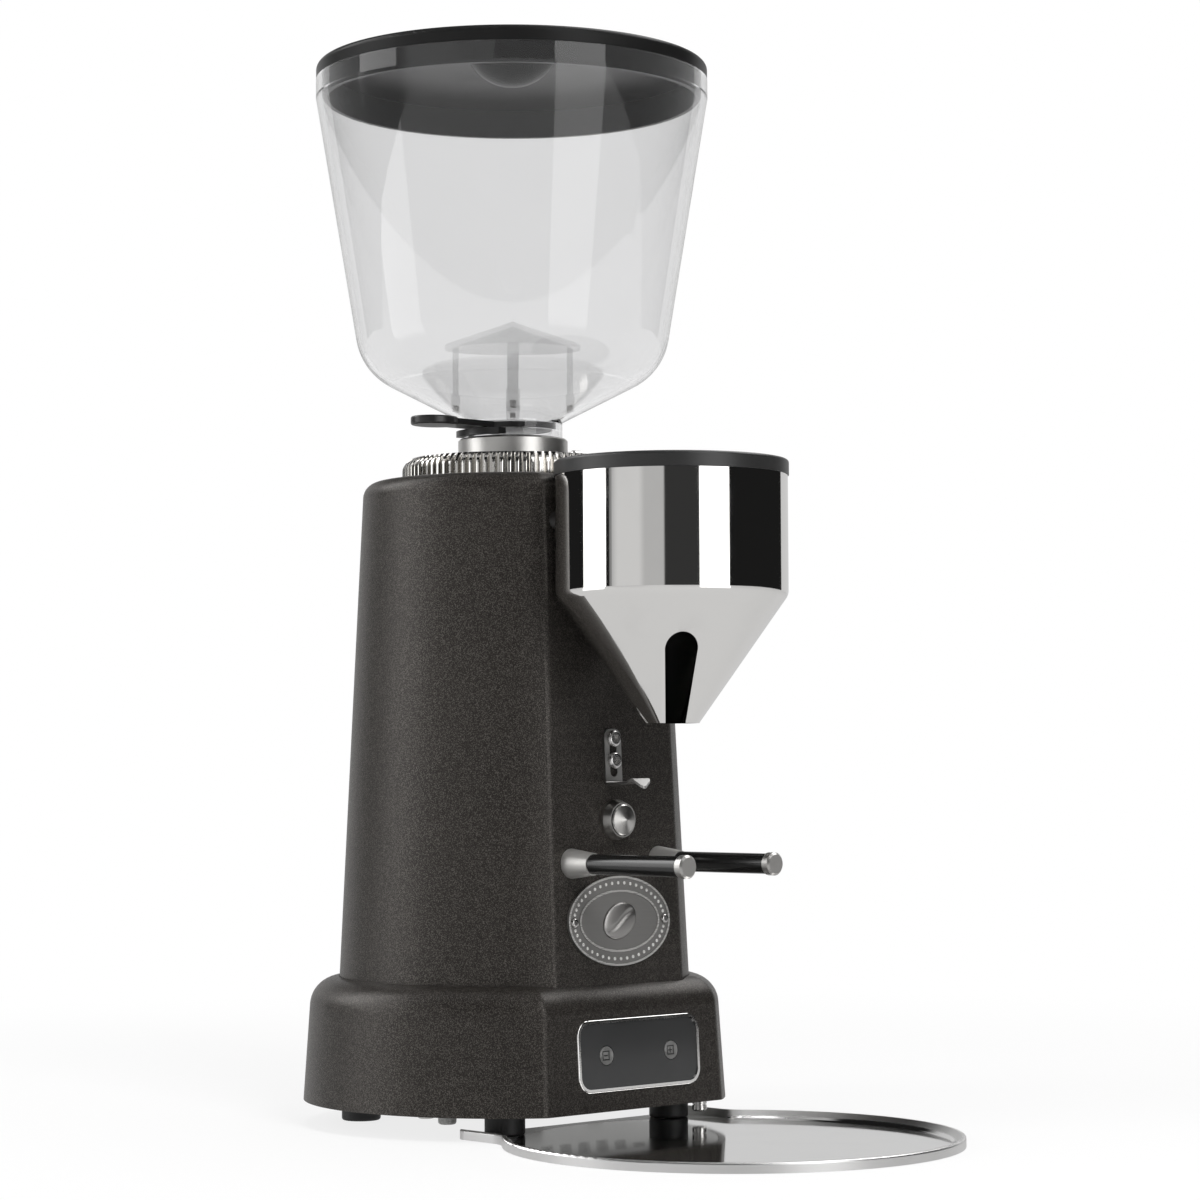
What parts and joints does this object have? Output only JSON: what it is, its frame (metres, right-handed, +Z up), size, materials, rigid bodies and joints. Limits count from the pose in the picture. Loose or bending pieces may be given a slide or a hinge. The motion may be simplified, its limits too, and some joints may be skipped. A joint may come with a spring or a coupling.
{
  "type": "burr coffee grinder",
  "caption": "On-demand burr coffee grinder with a leaning round-backed body, clear bean hopper, fluted setting ring, steel outlet funnel, portafilter fork and slide-out tray.",
  "frame": {"origin": "middle of the footprint, on the surface that the feet and the tray stand on", "axes": "+Z up; -Y to the front, where the fork, funnel and tray are; +X to the right when seen from the front"},
  "size_m": [0.1944, 0.3388, 0.4781],
  "materials": {
    "coat": "fine textured anthracite powder coat with light speckle",
    "polished_steel": "mirror polished",
    "ring_chrome": "polished flutes",
    "satin_aluminium": "satin turned",
    "turned_steel": "fine turned",
    "clear_plastic": "clear moulded",
    "black_plastic": "fine matt grain",
    "black_gloss": "glossy",
    "smoked_panel": "smoked, glossy",
    "dark_badge": "gunmetal, brushed",
    "spring_steel": "bright spring strip",
    "rubber": "matt",
    "zinc_sheet": "zinc plated sheet",
    "cast_alloy": "cast",
    "stack_steel": "laminated",
    "copper": "enamelled winding wire",
    "burr_steel": "ground tool steel",
    "board_green": "circuit board",
    "grey_plastic": "light grey"
  },
  "bodies": {
    "grinder_frame": {"base_housing": "coat", "body_housing": "coat", "underside_plate": "zinc_sheet", "plate_screws": "turned_steel", "rubber_feet": "rubber", "lock_stud": "turned_steel", "cord_gland": "black_plastic", "display_bezel": "polished_steel", "display_panel": "smoked_panel", "display_board": "board_green", "control_board": "board_green", "run_capacitor": "satin_aluminium", "switch_case": "black_plastic", "button_bezel": "turned_steel", "start_switch": "black_plastic", "portafilter_clip": "spring_steel", "clip_screws": "turned_steel", "fork_rods": "turned_steel", "fork_sleeves": "black_gloss", "fork_tips": "turned_steel", "badge_plate": "dark_badge", "badge_rivets": "turned_steel", "motor_stator": "stack_steel", "motor_windings": "copper", "upper_shield": "cast_alloy", "lower_shield": "cast_alloy", "upper_bearing": "turned_steel", "lower_bearing": "turned_steel", "motor_bolts": "turned_steel", "grind_chamber": "cast_alloy", "coffee_chute": "cast_alloy", "funnel_magnets": "turned_steel"},
    "drive": {"motor_rotor": "turned_steel", "cooling_fan": "black_plastic", "lower_burr_carrier": "cast_alloy", "lower_burr": "burr_steel", "lower_burr_screws": "turned_steel", "carrier_nut": "turned_steel"},
    "ring": {"adjusting_ring": "ring_chrome"},
    "burr_lift": {"upper_burr_carrier": "cast_alloy", "upper_burr": "burr_steel", "upper_burr_screws": "turned_steel", "hopper_collar": "satin_aluminium"},
    "lock_screw": {"hopper_lock_screw": "turned_steel"},
    "hopper_body": {"hopper": "clear_plastic", "gate_guide": "black_plastic", "finger_guard": "clear_plastic", "guard_screws": "turned_steel"},
    "gate": {"gate_slide": "black_plastic"},
    "lid": {"hopper_lid": "black_plastic"},
    "funnel_body": {"funnel": "polished_steel"},
    "funnel_cap": {"funnel_lid": "black_plastic"},
    "button": {"push_button": "turned_steel"},
    "minus": {"minus_key": "smoked_panel"},
    "plus": {"plus_key": "smoked_panel"},
    "switch": {"power_switch": "grey_plastic"},
    "tray_body": {"tray": "polished_steel"}
  },
  "joints": [
    {"name": "drive_spin", "type": "hinge", "parent": "grinder_frame", "child": "drive", "pos_m": [0, 0.0646, 0.2], "axis": [0, 0, 1], "continuous": true},
    {"name": "ring_turn", "type": "hinge", "parent": "grinder_frame", "child": "ring", "pos_m": [0, 0.0646, 0.292], "axis": [0, 0, 1], "range_deg": [0, 300]},
    {"name": "burr_lift", "type": "slide", "parent": "grinder_frame", "child": "burr_lift", "axis": [0, 0, 1], "range_m": [0, 0.0013]},
    {"name": "lock_screw_turn", "type": "hinge", "parent": "burr_lift", "child": "lock_screw", "pos_m": [0.03, 0.0646, 0.3026], "axis": [1, 0, 0], "continuous": true},
    {"name": "hopper_lift", "type": "slide", "parent": "burr_lift", "child": "hopper_body", "axis": [0, 0, 1], "range_m": [0, 0.04]},
    {"name": "gate_pull", "type": "slide", "parent": "hopper_body", "child": "gate", "axis": [-1, 0, 0], "range_m": [0, 0.036]},
    {"name": "lid_lift", "type": "slide", "parent": "hopper_body", "child": "lid", "axis": [0, 0, 1], "range_m": [0, 0.05]},
    {"name": "funnel_pull", "type": "slide", "parent": "grinder_frame", "child": "funnel_body", "axis": [0, -1, 0], "range_m": [0, 0.06]},
    {"name": "funnel_lid_lift", "type": "slide", "parent": "funnel_body", "child": "funnel_cap", "axis": [0, 0, 1], "range_m": [0, 0.025]},
    {"name": "button_press", "type": "slide", "parent": "grinder_frame", "child": "button", "axis": [0, 1, 0], "range_m": [0, 0.0025], "stiffness_N_per_m": 900, "springref_m": -0.001},
    {"name": "minus_press", "type": "slide", "parent": "grinder_frame", "child": "minus", "axis": [0, 0.9983, -0.0586], "range_m": [0, 0.0005], "stiffness_N_per_m": 1500, "springref_m": -0.0003},
    {"name": "plus_press", "type": "slide", "parent": "grinder_frame", "child": "plus", "axis": [0, 0.9983, -0.0586], "range_m": [0, 0.0005], "stiffness_N_per_m": 1500, "springref_m": -0.0003},
    {"name": "switch_press", "type": "slide", "parent": "grinder_frame", "child": "switch", "axis": [0, 0, 1], "range_m": [0, 0.002], "stiffness_N_per_m": 900, "springref_m": -0.001},
    {"name": "tray_pull", "type": "slide", "parent": "grinder_frame", "child": "tray_body", "axis": [0, -1, 0], "range_m": [0, 0.12]}
  ],
  "couplings": [
    {"joint": "burr_lift", "follows": "ring_turn", "m_per_rad": 0.00023873}
  ]
}
